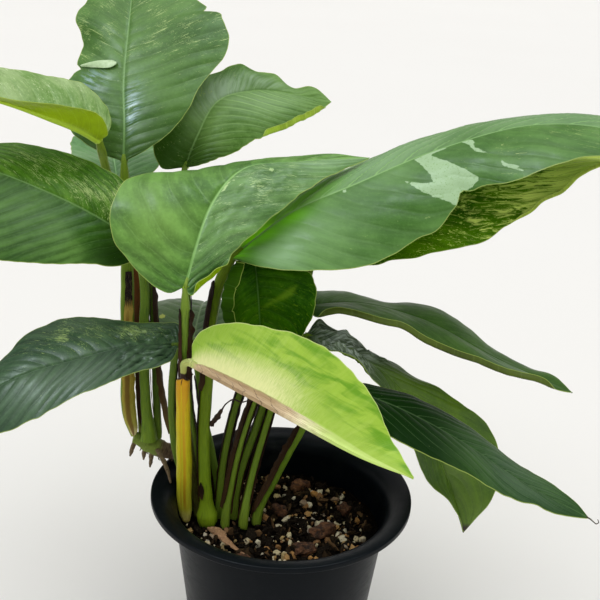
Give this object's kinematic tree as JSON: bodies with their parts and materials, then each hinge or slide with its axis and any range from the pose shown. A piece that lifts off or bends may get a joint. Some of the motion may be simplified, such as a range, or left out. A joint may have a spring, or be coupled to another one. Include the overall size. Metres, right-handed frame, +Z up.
{
  "type": "potted variegated rhaphidophora plant",
  "caption": "Leafy houseplant with long stalks and broad pointed leaves, one of them yellow, rooted in dark potting mix in a black flared nursery pot.",
  "frame": {"origin": "middle of the pot's flat underside", "axes": "+Z up through the pot's middle, -Y towards the side that the plant is seen from, +X to that viewer's right"},
  "size_m": [0.3852, 0.2226, 0.3743],
  "materials": {
    "black_plastic": "satin black injection-moulded plastic",
    "potting_mix": "damp bark, coir and pumice mix",
    "bark": "rough bark chunk",
    "creeping_stem": "green stem with brown scars",
    "root": "dry brown root",
    "dried_sheath": "papery dried leaf sheath",
    "stalk_green": "smooth green stalk with brown edges",
    "stalk_yellow": "smooth yellow stalk with an orange stripe",
    "leaf_green": "glossy mid-green leaf with pale flecks",
    "leaf_dark": "glossy dark green leaf",
    "leaf_yellow": "ageing yellow-green leaf with a brown streak"
  },
  "bodies": {
    "root": {"pot": "black_plastic", "potting_mix": "potting_mix", "bark_chunk_1": "bark", "bark_chunk_2": "bark", "bark_chunk_3": "bark", "bark_chunk_4": "bark", "bark_chunk_5": "bark", "bark_chunk_6": "bark", "creeping_stem": "creeping_stem", "aerial_root_left": "root", "aerial_root_middle": "root", "aerial_root_right": "root", "aerial_root_over_rim": "root", "dead_twig": "dried_sheath", "tan_strip": "root", "sheath_crown": "dried_sheath", "sheath_far_back": "dried_sheath", "sheath_front": "dried_sheath", "sheath_long_right": "dried_sheath", "sheath_under_right": "dried_sheath", "sheath_right_front": "dried_sheath", "stalk_crown": "stalk_green", "stalk_back_left": "stalk_green", "stalk_wide_left": "stalk_green", "stalk_far_back": "stalk_green", "stalk_back_right": "stalk_green", "stalk_front": "stalk_green", "stalk_long_right": "stalk_green", "stalk_under_right": "stalk_green", "stalk_hanging": "stalk_green", "stalk_right_back": "stalk_green", "stalk_right_low": "stalk_green", "stalk_right_front": "stalk_green", "stalk_left_low": "stalk_green", "stalk_back_low": "stalk_green", "stalk_yellow": "stalk_yellow", "blade_crown": "leaf_green", "blade_back_left": "leaf_green", "blade_back_right": "leaf_green", "blade_wide_left": "leaf_green", "blade_front": "leaf_green", "blade_long_right": "leaf_green", "blade_under_right": "leaf_green", "blade_hanging": "leaf_dark", "blade_right_back": "leaf_dark", "blade_right_low": "leaf_green", "blade_right_front": "leaf_dark", "blade_left_low": "leaf_dark", "blade_back_low": "leaf_dark", "blade_far_back": "leaf_green", "blade_yellow": "leaf_yellow"}
  },
  "joints": []
}
